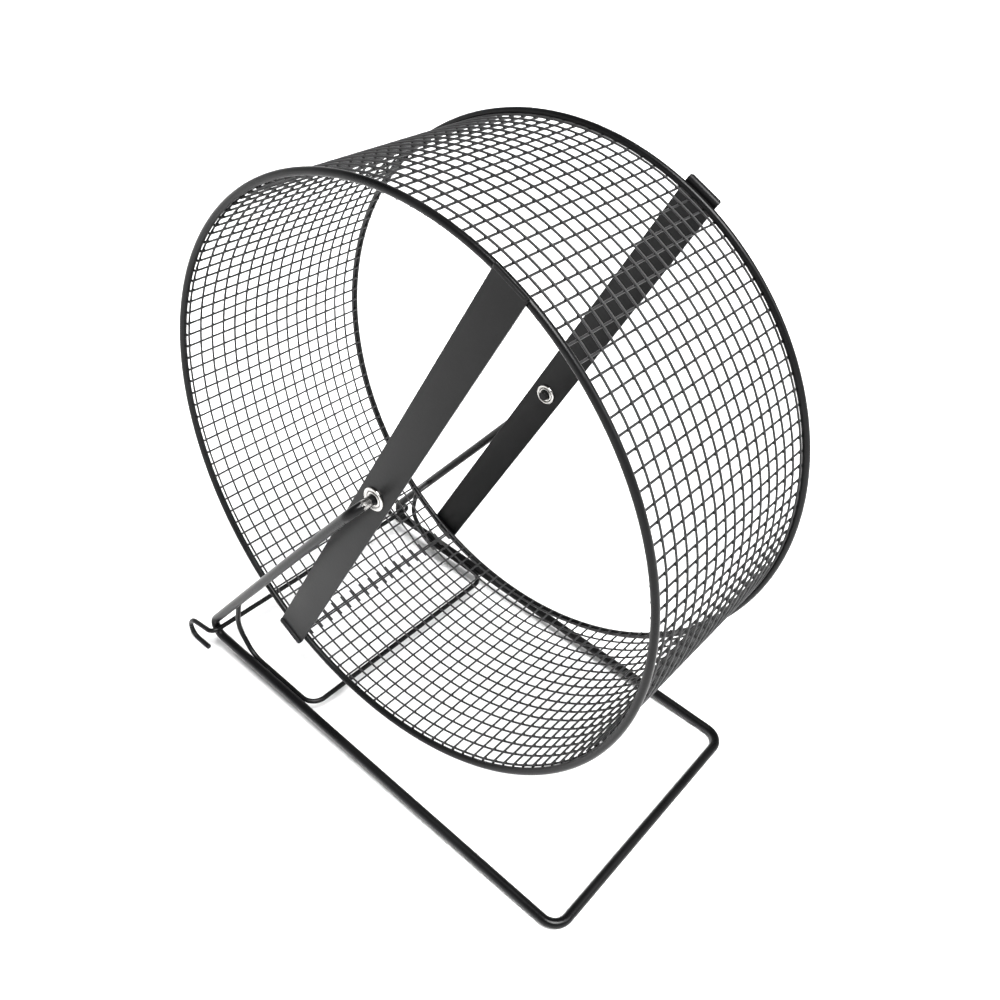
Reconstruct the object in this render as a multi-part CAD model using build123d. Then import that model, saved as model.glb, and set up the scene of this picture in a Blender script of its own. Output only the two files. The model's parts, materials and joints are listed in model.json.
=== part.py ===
from build123d import *
import math
import os

# Hamster wheel: a mesh drum on two wire rims, carried by two flat crossbars whose
# eyelets turn on the inward-bent tips of a bent wire stand. Millimetres.
# Stand frame while modelling: origin on the axle at mid width, X along the base
# from the rear corners to the front, Y along the axle, Z up from the base.
# The finished model is then set down on its front wire and its two rear hooks.

# Drum
rim_radius = 101.0
rim_wire = 2.5
rim_spacing = 83.8
mesh_wire = 0.75
mesh_cell = 5.0
mesh_edge = 1.9
rung_overhang = 0.7
seam_gap = 0.05
seam_end_length = 6.0
seam_angle = 2.0
drum_angle = 66.0

# Crossbars: flat straps against the rims, whose ends pass the rims and turn outwards
bar_width = 12.4
bar_thickness = 1.0
bar_overhang = 1.45
bar_bend = 0.9
bar_flange_reach = 1.15
bar_corner = 1.1

# Eyelets, which turn on the axle tips with a running gap
axle_gap = 0.07
eyelet_wall = 0.5
outer_flange_reach = 1.88
inner_flange_reach = 1.48
flange_thickness = 0.8
flange_round = 0.38

# Main wire: drum_clearance lies between the crossbars' ends and the base,
# arm_clearance between an eyelet and the bend of its arm
main_wire = 3.5
drum_clearance = 11.55
arm_clearance = 3.41
rear_reach = 83.7
front_reach = 100.9
elbow_bend = 5.0
rear_bend = 5.0
front_bend = 6.0
tip_beyond_eyelet = 1.5
tip_round = 0.4

# Brace wire: its places on the arm and on the base are measured from the rear corner
brace_wire = 2.0
brace_leaves_arm = 30.5
brace_arm_run = 11.0
brace_leg = 14.9
brace_leg_slope = 6.7
brace_joins_base = 25.7
brace_base_run = 35.8
brace_arm_bend = 18.0
brace_knee_bend = 11.0
brace_cross_bend = 6.0

# Hook wire
hook_wire = 2.0
hook_side_gap = 1.2
hook_turn_bend = 3.0
hook_slope = 12.0
hook_leg = 11.7
hook_bend = 4.7
hook_tip_leg = 7.0

# Gap between pieces that are welded, tied or clenched to each other
touch = 0.02

# Radii and places that follow
rim_half = rim_wire / 2
mesh_half = mesh_wire / 2
main_half = main_wire / 2
brace_half = brace_wire / 2
hook_half = hook_wire / 2
rim_y = rim_spacing / 2
rung_radius = rim_radius - rim_half - touch - mesh_half
hoop_radius = rung_radius + mesh_wire + touch
rung_count = round(2 * math.pi * rung_radius / mesh_cell)
hoop_spread = rim_spacing - 2 * mesh_edge
hoop_count = round(hoop_spread / mesh_cell) + 1
bar_inner_y = rim_y + rim_half + touch
bar_outer_y = bar_inner_y + bar_thickness
bore_radius = main_half + axle_gap
sleeve_radius = bore_radius + eyelet_wall
arm_y = bar_outer_y + touch + flange_thickness + arm_clearance + elbow_bend
bar_end_radius = rim_radius + rim_half + bar_overhang
hub_height = bar_end_radius + drum_clearance + main_half
base_z = -hub_height


def turned(vector, angle):
    """A vector of the XZ plane turned from +X towards +Z by an angle in degrees."""
    cosine = math.cos(math.radians(angle))
    sine = math.sin(math.radians(angle))
    return Vector(vector.X * cosine - vector.Z * sine, vector.Y, vector.X * sine + vector.Z * cosine)


def heading(angle):
    """The unit vector in the XZ plane at an angle in degrees from +X towards +Z."""
    return turned(Vector(1, 0, 0), angle)


def bent_path(points, radii):
    """Straight runs through the points, with a tangent arc of its own radius at each corner."""
    edges = []
    start = points[0]
    for before, corner, after, radius in zip(points, points[1:], points[2:], radii):
        inward = (corner - before).normalized()
        outward = (after - corner).normalized()
        half_turn = math.radians(inward.get_angle(outward)) / 2
        setback = radius * math.tan(half_turn)
        arc_start = corner - inward * setback
        arc_end = corner + outward * setback
        centre = corner + (outward - inward).normalized() * (radius / math.cos(half_turn))
        arc_middle = centre + (corner - centre).normalized() * radius
        if (arc_start - start).length > touch:
            edges.append(Line(start, arc_start))
            start = arc_start
        edges.append(ThreePointArc(start, arc_middle, arc_end))
        start = arc_end
    edges.append(Line(start, points[-1]))
    return Wire(edges)


def wire_along(path, radius):
    """A round wire of one radius along a path."""
    section = Plane(path @ 0, z_dir=path % 0) * Circle(radius)
    return sweep(section, path=path)


def mirrored_points(points):
    """The points given for the right side, followed by their mirror images on the left side."""
    return points + [Vector(point.X, -point.Y, point.Z) for point in reversed(points)]


# Side view of the stand, shared by its three wires
rear_corner = Vector(-rear_reach, 0, base_z)
front_corner = Vector(front_reach, 0, base_z)
arm_direction = (Vector(0, 0, 0) - rear_corner).normalized()
arm_angle = math.degrees(math.atan2(hub_height, rear_reach))
half_vertex = math.radians(arm_angle) / 2

# The hook wire lies in the bend between arm and base, against its inner side
nest_from_corner = rear_bend / math.sin(half_vertex) - (rear_bend - main_half - hook_half - touch)
nest = rear_corner + heading(arm_angle / 2) * nest_from_corner
hook_y = arm_y + main_half + hook_side_gap + hook_half
leg_direction = heading(180 + hook_slope)
hook_centre = nest + leg_direction * hook_leg + turned(leg_direction, 90) * hook_bend

# Tilt that sets the front wire and the hooks' lower legs on one plane
rise = front_corner.Z - hook_centre.Z
run = front_corner.X - hook_centre.X
height_difference = main_half - (hook_bend + hook_half)
tilt = math.degrees(math.atan2(rise, run) - math.asin(height_difference / math.hypot(run, rise)))


def at_side(point, y):
    """A point of the side view moved out to a plane of its own."""
    return Vector(point.X, y, point.Z)


def make_main_wire():
    tip_y = bar_inner_y - touch - flange_thickness - tip_beyond_eyelet
    axle = Vector(0, 0, 0)
    right_side = [
        at_side(axle, -tip_y),
        at_side(axle, -arm_y),
        at_side(rear_corner, -arm_y),
        at_side(front_corner, -arm_y),
    ]
    bends = [elbow_bend, rear_bend, front_bend]
    wire = wire_along(bent_path(mirrored_points(right_side), bends + bends[::-1]), main_half)
    tip_edges = [edge for edge in wire.edges().filter_by(GeomType.CIRCLE) if abs(abs(edge.center().Y) - tip_y) < touch]
    return fillet(tip_edges, tip_round)


def make_brace_wire():
    side = -(arm_y - main_half - touch - brace_half)
    leaves_arm = rear_corner + arm_direction * brace_leaves_arm
    joins_base = rear_corner + Vector(brace_joins_base, 0, 0)
    right_side = [
        at_side(leaves_arm + arm_direction * brace_arm_run, side),
        at_side(leaves_arm, side),
        at_side(leaves_arm + heading(-90 - brace_leg_slope) * brace_leg, side),
        at_side(joins_base, side),
        at_side(joins_base + Vector(brace_base_run, 0, 0), side),
    ]
    bends = [brace_arm_bend, brace_knee_bend, brace_knee_bend, brace_cross_bend]
    return wire_along(bent_path(mirrored_points(right_side), bends + bends[::-1]), brace_half)


def make_hook_wire():
    half_turn = (180 - hook_slope + tilt) / 2
    setback = hook_bend * math.tan(math.radians(half_turn / 2))
    upper_corner = nest + leg_direction * (hook_leg + setback)
    lower_corner = upper_corner + turned(leg_direction, half_turn) * (2 * setback)
    tip = lower_corner + heading(tilt) * (setback + hook_tip_leg)
    right_side = [
        at_side(tip, -hook_y),
        at_side(lower_corner, -hook_y),
        at_side(upper_corner, -hook_y),
        at_side(nest, -hook_y),
    ]
    bends = [hook_bend, hook_bend, hook_turn_bend]
    return wire_along(bent_path(mirrored_points(right_side), bends + bends[::-1]), hook_half)


def make_rim(side):
    return Pos(0, side * rim_y, 0) * (Rot(90, 0, 0) * Torus(rim_radius, rim_half))


def hoop_places():
    pitch = hoop_spread / (hoop_count - 1)
    return [index * pitch - hoop_spread / 2 for index in range(hoop_count)]


def make_mesh_hoops():
    return [Pos(0, y, 0) * (Rot(90, 0, 0) * Torus(hoop_radius, mesh_half)) for y in hoop_places()]


def make_rung(angle, radius):
    length = rim_spacing + 2 * rung_overhang
    rung = Rot(90, 0, 0) * Cylinder(mesh_half, length)
    return Rot(0, -angle, 0) * (Pos(radius, 0, 0) * rung)


def seam_place():
    return drum_angle + 180 + seam_angle


def make_mesh_rungs():
    step = 360 / rung_count
    return [make_rung(seam_place() + index * step, rung_radius) for index in range(rung_count)]


def make_seam_rung():
    beside = math.degrees((mesh_wire + seam_gap) / rung_radius)
    return make_rung(seam_place() + beside, rung_radius)


def make_seam_ends():
    ends = []
    for y in hoop_places():
        towards_middle = -1 if y > 0 else 1
        beside = y + towards_middle * (mesh_wire + touch)
        end = Pos(hoop_radius, beside, 0) * Cylinder(mesh_half, seam_end_length)
        ends.append(Rot(0, -seam_place(), 0) * end)
    return ends


def make_crossbar(side):
    # Section of the strap in the plane of the axle: flat, with both ends turned outwards
    middle_y = (bar_inner_y + bar_outer_y) / 2
    flange_x = bar_end_radius - bar_thickness / 2
    bend_x = flange_x - bar_bend
    bend_y = middle_y + bar_bend
    flange_end_y = bar_outer_y + bar_flange_reach
    corner_share = math.sqrt(0.5)
    strip = []
    for end in (-1, 1):
        flat_end = (end * bend_x, middle_y)
        turn = (end * (bend_x + bar_bend * corner_share), bend_y - bar_bend * corner_share)
        flange_start = (end * flange_x, bend_y)
        strip.append(Line((0, middle_y), flat_end))
        strip.append(ThreePointArc(flat_end, turn, flange_start))
        strip.append(Line(flange_start, (end * flange_x, flange_end_y)))
    section = Sketch() + [trace(edge, line_width=bar_thickness) for edge in strip]
    strap = extrude(section, amount=bar_width / 2, both=True)
    # Rounded corners of the turned ends, cut along the strap
    outline = Plane.YZ * RectangleRounded(2 * flange_end_y, bar_width, bar_corner)
    rounding = extrude(outline, amount=bar_end_radius, both=True)
    hole = Pos(0, middle_y, 0) * (Rot(90, 0, 0) * Cylinder(sleeve_radius + touch, 2 * bar_thickness))
    strap = (strap & rounding) - hole
    if side < 0:
        strap = mirror(strap, about=Plane.XZ)
    return Rot(0, -drum_angle, 0) * strap


def make_eyelet(side):
    inner_face = bar_inner_y - touch
    outer_face = bar_outer_y + touch
    outer_edge = sleeve_radius + outer_flange_reach
    inner_edge = sleeve_radius + inner_flange_reach
    profile = Polyline(
        (bore_radius, outer_face + flange_thickness),
        (outer_edge, outer_face + flange_thickness),
        (outer_edge, outer_face),
        (sleeve_radius, outer_face),
        (sleeve_radius, inner_face),
        (inner_edge, inner_face),
        (inner_edge, inner_face - flange_thickness),
        (bore_radius, inner_face - flange_thickness),
        close=True,
    )
    section = make_face(profile)
    far_faces = (outer_face + flange_thickness, inner_face - flange_thickness)
    corners = [v for v in section.vertices() if min(abs(v.Y - level) for level in far_faces) < touch]
    eyelet = revolve(fillet(corners, flange_round), axis=Axis.Y)
    if side < 0:
        eyelet = mirror(eyelet, about=Plane.XZ)
    return eyelet


RIGHT = -1
LEFT = 1

nodes = {
    "main_wire": [make_main_wire()],
    "brace_wire": [make_brace_wire()],
    "hook_wire": [make_hook_wire()],
    "rim_right": [make_rim(RIGHT)],
    "rim_left": [make_rim(LEFT)],
    "mesh_hoops": make_mesh_hoops(),
    "mesh_rungs": make_mesh_rungs(),
    "seam_rung": [make_seam_rung()],
    "seam_ends": make_seam_ends(),
    "crossbar_right": [make_crossbar(RIGHT)],
    "crossbar_left": [make_crossbar(LEFT)],
    "eyelet_right": [make_eyelet(RIGHT)],
    "eyelet_left": [make_eyelet(LEFT)],
}

# Set down on the plane through the front wire and the hooks, origin below the box's middle
standing = {name: [Rot(0, tilt, 0) * piece for piece in pieces] for name, pieces in nodes.items()}
solids = [solid for pieces in standing.values() for piece in pieces for solid in piece.solids()]
box = Compound(children=solids).bounding_box()
placement = Pos(-box.center().X, 0, -box.min.Z)

os.makedirs("parts", exist_ok=True)
for name, pieces in standing.items():
    placed = [placement * solid for piece in pieces for solid in piece.solids()]
    node = placed[0] if len(placed) == 1 else Compound(children=placed)
    node.label = name
    export_step(node, f"parts/{name}.step")

print("tilt in degrees", round(tilt, 4))
print("axle at", round(-box.center().X, 4), 0, round(-box.min.Z, 4))
print("size", box.size)
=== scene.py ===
import json
import logging
import math
from dataclasses import dataclass
from enum import Enum
from typing import Iterable

import bmesh
import bpy
from mathutils import Matrix, Quaternion, Vector

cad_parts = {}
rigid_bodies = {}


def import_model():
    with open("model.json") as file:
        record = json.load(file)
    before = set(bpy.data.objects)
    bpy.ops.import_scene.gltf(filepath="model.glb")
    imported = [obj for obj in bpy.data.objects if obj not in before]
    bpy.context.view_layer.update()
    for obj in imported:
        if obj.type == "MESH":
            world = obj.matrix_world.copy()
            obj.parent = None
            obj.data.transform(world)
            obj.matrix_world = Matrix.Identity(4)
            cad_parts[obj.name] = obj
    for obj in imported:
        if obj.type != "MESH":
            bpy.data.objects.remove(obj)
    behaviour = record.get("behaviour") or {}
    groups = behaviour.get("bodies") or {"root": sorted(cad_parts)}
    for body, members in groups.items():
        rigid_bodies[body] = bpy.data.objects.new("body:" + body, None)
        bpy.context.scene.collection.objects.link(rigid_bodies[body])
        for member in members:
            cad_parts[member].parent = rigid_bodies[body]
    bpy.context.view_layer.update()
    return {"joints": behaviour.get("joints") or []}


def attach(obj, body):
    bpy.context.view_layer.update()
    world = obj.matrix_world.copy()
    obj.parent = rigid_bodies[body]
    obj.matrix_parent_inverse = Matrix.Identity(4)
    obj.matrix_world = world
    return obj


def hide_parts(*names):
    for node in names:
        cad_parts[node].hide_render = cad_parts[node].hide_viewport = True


# Looks of a wire-mesh exercise wheel on a bent wire stand. Everything is modelled in the
# stand's own frame, with the origin on the axle, X along the base to the front and Z up
# from the base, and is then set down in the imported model's frame. Metres.
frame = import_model()

log = logging.getLogger("wheel")
MM = 0.001
TOUCH = 0.02 * MM

Socket = bpy.types.NodeSocket
Mesh = bpy.types.Mesh
Material = bpy.types.Material
Triple = tuple[float, float, float]


class Body(Enum):
    """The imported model's two bodies."""

    STAND = "stand"
    WHEEL = "wheel"


class Slot(Enum):
    """The record's material slots."""

    WIRE = "wire_black"
    MESH = "mesh_black"
    BAR = "bar_grey"
    EYELET = "eyelet_nickel"


class Side(Enum):
    """The two ends of the axle, by the sign of Y."""

    RIGHT = -1
    LEFT = 1


class Field:
    """A value in a node tree that can be reckoned with: each operation adds a Math node."""

    def __init__(self, builder: "TreeBuilder", socket: Socket) -> None:
        """Keeps the tree's builder and the output socket that gives the value."""
        self.builder = builder
        self.socket = socket

    def __add__(self, other: object) -> "Field":
        """This value plus another."""
        return self.builder.math("ADD", self, other)

    def __sub__(self, other: object) -> "Field":
        """This value less another."""
        return self.builder.math("SUBTRACT", self, other)

    def __rsub__(self, other: object) -> "Field":
        """Another value less this one."""
        return self.builder.math("SUBTRACT", other, self)

    def __mul__(self, other: object) -> "Field":
        """This value times another."""
        return self.builder.math("MULTIPLY", self, other)

    def __truediv__(self, other: object) -> "Field":
        """This value divided by another."""
        return self.builder.math("DIVIDE", self, other)

    def __rtruediv__(self, other: object) -> "Field":
        """Another value divided by this one."""
        return self.builder.math("DIVIDE", other, self)

    def __abs__(self) -> "Field":
        """This value without its sign."""
        return self.builder.math("ABSOLUTE", self)


class TreeBuilder:
    """Adds nodes and links to a node tree with few words."""

    def __init__(self, tree: bpy.types.NodeTree) -> None:
        """Keeps the Geometry Nodes or shader tree that is built."""
        self.tree = tree

    def add(self, kind: str, *values: object, **settings: object) -> bpy.types.Node:
        """Adds one node.

        Args:
            kind: the node's type in Blender.
            values: what goes into its inputs in order; sockets and fields are linked, None skips one.
            settings: the node's own properties.

        Returns:
            The new node.
        """
        node = self.tree.nodes.new(kind)
        for name, value in settings.items():
            setattr(node, name, value)
        for socket, value in zip(self.live(node.inputs), values):
            self.feed(socket, value)
        return node

    @staticmethod
    def live(sockets: Iterable[Socket]) -> list[Socket]:
        """Those of a node's sockets that its settings leave in use."""
        return [socket for socket in sockets if socket.enabled and not socket.is_unavailable]

    def feed(self, socket: Socket, value: object) -> None:
        """Links a socket to another one, or sets its value.

        Args:
            socket: the input socket.
            value: a field, an output socket, a plain value, or None to leave it.
        """
        if isinstance(value, Field):
            value = value.socket
        if isinstance(value, Socket):
            self.tree.links.new(value, socket)
        elif value is not None:
            socket.default_value = value

    def fill(self, node: bpy.types.Node, **values: object) -> None:
        """Feeds a node's inputs by name, with an underscore for a space."""
        for key, value in values.items():
            self.feed(node.inputs[key.replace("_", " ")], value)

    def noise_at(self, place: Socket | None, scale: object, detail: float, **more: object) -> Field:
        """A 3D noise texture's value at a place.

        Args:
            place: the place, or None for the texture's own.
            scale: how many features lie in a metre.
            detail: how many finer layers it has.
            more: further inputs of the texture by name.

        Returns:
            The noise's value, around one half.
        """
        node = self.add("ShaderNodeTexNoise", noise_dimensions="3D")
        self.fill(node, Vector=place, Scale=scale, Detail=detail, **more)
        return Field(self, node.outputs["Fac"])

    def math(self, operation: str, *values: object) -> Field:
        """A Math node's result, from its inputs in order."""
        return Field(self, self.add("ShaderNodeMath", *values, operation=operation).outputs[0])

    def smooth(self, value: object, low: float, high: float, at_low: float = 0.0, at_high: float = 1.0) -> Field:
        """A smooth step between two values.

        Args:
            value: what is mapped.
            low: the value where the step begins.
            high: the value where it ends.
            at_low: the result at and below low.
            at_high: the result at and above high.

        Returns:
            The stepped value.
        """
        node = self.add("ShaderNodeMapRange", interpolation_type="SMOOTHSTEP")
        for socket, given in zip(node.inputs, (value, low, high, at_low, at_high)):
            self.feed(socket, given)
        return Field(self, node.outputs[0])


class GeometryTree(TreeBuilder):
    """A Geometry Nodes tree with named inputs, and the way to turn it into a plain mesh."""

    def __init__(self, name: str) -> None:
        """Starts an empty tree with a geometry input and output.

        Args:
            name: the tree's name.
        """
        super().__init__(bpy.data.node_groups.new(name, "GeometryNodeTree"))
        self.name = name
        interface = self.tree.interface
        interface.new_socket(name="Geometry", in_out="INPUT", socket_type="NodeSocketGeometry")
        interface.new_socket(name="Geometry", in_out="OUTPUT", socket_type="NodeSocketGeometry")
        self.entry = self.tree.nodes.new("NodeGroupInput")
        self.exit = self.tree.nodes.new("NodeGroupOutput")
        self.keys: dict[str, str] = {}

    def numbers(self, *names: str) -> list[Field]:
        """Declares named numbers among the tree's inputs and gives their values."""
        return [Field(self, self._declare(name, "NodeSocketFloat")) for name in names]

    def counts(self, *names: str) -> list[Field]:
        """Declares named whole numbers among the tree's inputs and gives their values."""
        return [Field(self, self._declare(name, "NodeSocketInt")) for name in names]

    def material(self, name: str) -> Socket:
        """Declares a named material among the tree's inputs and gives its socket."""
        return self._declare(name, "NodeSocketMaterial")

    def _declare(self, name: str, kind: str) -> Socket:
        """Adds an input of one kind and keeps its identifier.

        Args:
            name: the input's name.
            kind: its socket type in Blender.

        Returns:
            The socket that gives the input's value inside the tree.
        """
        item = self.tree.interface.new_socket(name=name, in_out="INPUT", socket_type=kind)
        self.keys[name] = item.identifier
        return next(s for s in self.entry.outputs if s.identifier == item.identifier)

    def named(self, name: str) -> Field:
        """The value of a named attribute of the geometry."""
        return Field(self, self.add("GeometryNodeInputNamedAttribute", name, data_type="FLOAT").outputs[0])

    def store(self, geometry: Socket, name: str, value: object) -> Socket:
        """The geometry with a field stored on its points under a name."""
        return self.add("GeometryNodeStoreNamedAttribute", geometry, None, name, value,
                        data_type="FLOAT", domain="POINT").outputs[0]

    def wire(self, path: Socket, radius: object, sides: object, scale: object = 1.0) -> Socket:
        """Sweeps a round section along mesh edges.

        Args:
            path: edges that the wire follows.
            radius: the wire's radius.
            sides: how many sides the section has.
            scale: a factor for the radius at each point.

        Returns:
            The wire's surface, smooth shaded.
        """
        curve = self.add("GeometryNodeMeshToCurve", path).outputs[0]
        section = self.add("GeometryNodeCurvePrimitiveCircle", sides)
        self.feed(section.inputs["Radius"], radius)
        swept = self.add("GeometryNodeCurveToMesh")
        self.fill(swept, Curve=curve, Profile_Curve=section.outputs[0], Scale=scale, Fill_Caps=True)
        return self.add("GeometryNodeSetShadeSmooth", swept.outputs[0], None, True).outputs[0]

    def close(self, geometry: Socket, material: Socket) -> None:
        """Ends the tree in Realize Instances and Set Material.

        Args:
            geometry: what the tree has built.
            material: the material that it gets.
        """
        real = self.add("GeometryNodeRealizeInstances", geometry).outputs[0]
        dressed = self.add("GeometryNodeSetMaterial", real, None, material).outputs[0]
        self.feed(self.exit.inputs[0], dressed)

    def grow(self, name: str, values: dict[str, object], seed: Mesh | None = None) -> Mesh:
        """Evaluates the tree once and returns the result as a plain mesh.

        Args:
            name: the mesh's name.
            values: what each named input gets.
            seed: the mesh that enters the tree, or None for an empty one.

        Returns:
            A new mesh without modifiers.
        """
        holder = bpy.data.objects.new(name + "_seed", seed or bpy.data.meshes.new(name + "_seed"))
        bpy.context.scene.collection.objects.link(holder)
        modifier = holder.modifiers.new("Grow", "NODES")
        modifier.node_group = self.tree
        for key, value in values.items():
            modifier[self.keys[key]] = value
        depsgraph = bpy.context.evaluated_depsgraph_get()
        grown = bpy.data.meshes.new_from_object(
            holder.evaluated_get(depsgraph), preserve_all_data_layers=True, depsgraph=depsgraph
        )
        grown.name = name
        holder.modifiers.remove(modifier)
        bpy.data.objects.remove(holder)
        return grown


class ShaderTree(TreeBuilder):
    """A material's node tree, begun with Object coordinates and a Principled BSDF."""

    def __init__(self, name: str) -> None:
        """Starts a material.

        Args:
            name: the material's name.
        """
        self.material = bpy.data.materials.new(name)
        self.material.use_nodes = True
        super().__init__(self.material.node_tree)
        self.surface = next(n for n in self.tree.nodes if n.type == "BSDF_PRINCIPLED")
        self.place = self.add("ShaderNodeTexCoord").outputs["Object"]

    def noise(self, size: float, detail: float = 2.0, roughness: float = 0.5,
              stretch: Triple = (1, 1, 1)) -> Field:
        """Noise with features of a real size.

        Args:
            size: the size of a feature in metres.
            detail: how many finer layers it has.
            roughness: how strong these are.
            stretch: a factor for the frequency along each axis.

        Returns:
            The noise's value, around one half.
        """
        place = self.place
        if stretch != (1, 1, 1):
            mapping = self.add("ShaderNodeMapping", vector_type="POINT")
            self.fill(mapping, Vector=self.place, Scale=stretch)
            place = mapping.outputs[0]
        return self.noise_at(place, 1 / size, detail, Roughness=roughness)

    def blend(self, share: object, first: object, second: object) -> Socket:
        """Mixes two colours.

        Args:
            share: how much of the second there is.
            first: the first colour or socket.
            second: the second colour or socket.

        Returns:
            The mixed colour.
        """
        node = self.add("ShaderNodeMix", data_type="RGBA")
        self.feed(node.inputs["Factor"], share)
        colours = [s for s in node.inputs if s.type == "RGBA"]
        self.feed(colours[0], first)
        self.feed(colours[1], second)
        return next(s for s in node.outputs if s.type == "RGBA")

    def relief(self, height: object, depth: float, below: object = None) -> Socket:
        """A bump of a real depth.

        Args:
            height: the height field, from 0 to 1.
            depth: what 1 stands for, in metres.
            below: the normal of a relief that lies under this one.

        Returns:
            The normal.
        """
        node = self.add("ShaderNodeBump")
        self.fill(node, Strength=1.0, Distance=depth, Height=height, Normal=below)
        return node.outputs[0]

    def painted(self, attribute: str) -> Field:
        """The value of an attribute of the mesh."""
        node = self.add("ShaderNodeAttribute", attribute_name=attribute, attribute_type="GEOMETRY")
        return Field(self, node.outputs["Fac"])


@dataclass(frozen=True)
class PowderCoat:
    """Black powder coat on steel: a fine orange-peel relief, uneven sheen, faint dust and rubbed places.

    The attribute "wear" on a piece bares the steel under the coat, broken into streaks.
    """

    name: str
    shade: Triple
    dusty: Triple
    roughness: float = 0.42
    gloss: float = 0.4
    peel: float = 0.9 * MM
    peel_depth: float = 0.02 * MM
    grain: float = 0.18 * MM
    grain_depth: float = 0.12
    grain_sheen: float = 0.10
    cloud: float = 22 * MM
    cloud_share: float = 0.55
    cloud_sheen: float = 0.22
    cloud_edge: tuple[float, float] = (0.35, 0.7)
    speck: float = 0.35 * MM
    speck_share: float = 0.8
    speck_edge: tuple[float, float] = (0.70, 0.78)
    streak: float = 0.5 * MM
    streak_stretch: Triple = (1, 0.12, 1)
    streak_spread: float = 1.3
    worn_edge: tuple[float, float] = (0.42, 0.60)
    steel: Triple = (0.42, 0.41, 0.395)
    steel_roughness: float = 0.26
    wears: bool = False

    def build(self) -> Material:
        """Builds the material.

        Returns:
            The finished material.
        """
        tree = ShaderTree(self.name)
        peel = tree.noise(self.peel, detail=1.0)
        grain = tree.noise(self.grain, detail=2.0, roughness=0.6)
        clouds = tree.noise(self.cloud, detail=3.0, roughness=0.55)
        specks = tree.smooth(tree.noise(self.speck, detail=0.0), *self.speck_edge)
        cloudy = tree.smooth(clouds, *self.cloud_edge) * self.cloud_share
        share = tree.math("MAXIMUM", cloudy, specks * self.speck_share)
        colour = tree.blend(share, (*self.shade, 1), (*self.dusty, 1))
        rough = clouds * self.cloud_sheen + (self.roughness - self.cloud_sheen / 2)
        rough = grain * self.grain_sheen + (rough - self.grain_sheen / 2)
        relief = tree.relief(peel, self.peel_depth)
        relief = tree.relief(grain, self.peel_depth * self.grain_depth, relief)
        metal: object = 0.0
        if self.wears:
            streaks = tree.noise(self.streak, detail=3.0, roughness=0.65, stretch=self.streak_stretch)
            uneven = streaks * self.streak_spread - self.streak_spread / 2
            metal = tree.smooth(tree.painted("wear") + uneven, *self.worn_edge)
            colour = tree.blend(metal, colour, (*self.steel, 1))
            rough = rough * (1.0 - metal) + metal * self.steel_roughness
        tree.fill(tree.surface, Base_Color=colour, Roughness=rough, Metallic=metal, Normal=relief,
                  Specular_IOR_Level=self.gloss)
        return tree.material


@dataclass(frozen=True)
class NickelPlate:
    """Bright nickel on a pressed eyelet: turning marks, small dents, and painted shade that darkens its creases, bore
    and foot.
    """

    name: str = "bright_nickel"
    shade: Triple = (0.54, 0.53, 0.51)
    # Painted shade: its colour, noise, range and added roughness where the eyelet's creases, bore and foot are darkened
    painted_shade_colour: Triple = (0.11, 0.105, 0.10)
    roughness: float = 0.13
    dent: float = 1.1 * MM
    dent_depth: float = 0.05 * MM
    mark: float = 0.22 * MM
    mark_depth: float = 0.006 * MM
    mark_sheen: float = 0.16
    mark_smoothing: float = 0.05
    shade_spread: float = 0.6
    shade_edge: tuple[float, float] = (0.45, 0.95)
    shade_roughening: float = 0.3

    def build(self) -> Material:
        """Builds the material.

        Returns:
            The finished material.
        """
        tree = ShaderTree(self.name)
        dents = tree.noise(self.dent, detail=2.0)
        marks = tree.noise(self.mark, detail=2.0, roughness=0.6)
        # Painted shade: the crease attribute darkens and roughens the nickel at the bore, in the groove and where the
        # flanges meet the strap
        uneven = marks * self.shade_spread - self.shade_spread / 2
        painted_shade = tree.smooth(tree.painted("crease") + uneven, *self.shade_edge)
        colour = tree.blend(painted_shade, (*self.shade, 1), (*self.painted_shade_colour, 1))
        rough = painted_shade * self.shade_roughening + (marks * self.mark_sheen + (self.roughness - self.mark_smoothing))
        relief = tree.relief(dents, self.dent_depth)
        relief = tree.relief(marks, self.mark_depth, relief)
        tree.fill(tree.surface, Base_Color=colour, Roughness=rough, Metallic=1.0, Normal=relief)
        return tree.material


@dataclass(frozen=True)
class Finishes:
    """The materials of the whole object."""

    wire: Material
    mesh: Material
    knot: Material
    bar: Material
    nickel: Material

    @classmethod
    def build(cls) -> "Finishes":
        """Builds every finish once."""
        return cls(
            wire=PowderCoat("black_powder_coat", (0.0026, 0.0026, 0.0028), (0.0065, 0.0065, 0.0068),
                            gloss=0.17, roughness=0.30, wears=True).build(),
            mesh=PowderCoat("black_mesh_coat", (0.022, 0.022, 0.0226), (0.034, 0.034, 0.0346),
                            gloss=0.23, roughness=0.45, peel=0.5 * MM, peel_depth=0.010 * MM).build(),
            knot=PowderCoat("black_weld_coat", (0.006, 0.006, 0.0062), (0.012, 0.012, 0.0122),
                            gloss=0.3, roughness=0.5, peel=0.3 * MM, peel_depth=0.02 * MM).build(),
            bar=PowderCoat("charcoal_strap_coat", (0.0050, 0.0050, 0.0052), (0.0085, 0.0085, 0.0088),
                           gloss=0.135, roughness=0.36, peel=1.1 * MM, peel_depth=0.012 * MM).build(),
            nickel=NickelPlate().build(),
        )


@dataclass(frozen=True)
class Placement:
    """Where the stand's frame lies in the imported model's frame."""

    axle: Vector
    tilt: float

    def matrix(self) -> Matrix:
        """The transform from the stand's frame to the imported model's."""
        return Matrix.Translation(self.axle) @ Matrix.Rotation(self.tilt, 4, "Y")


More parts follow.
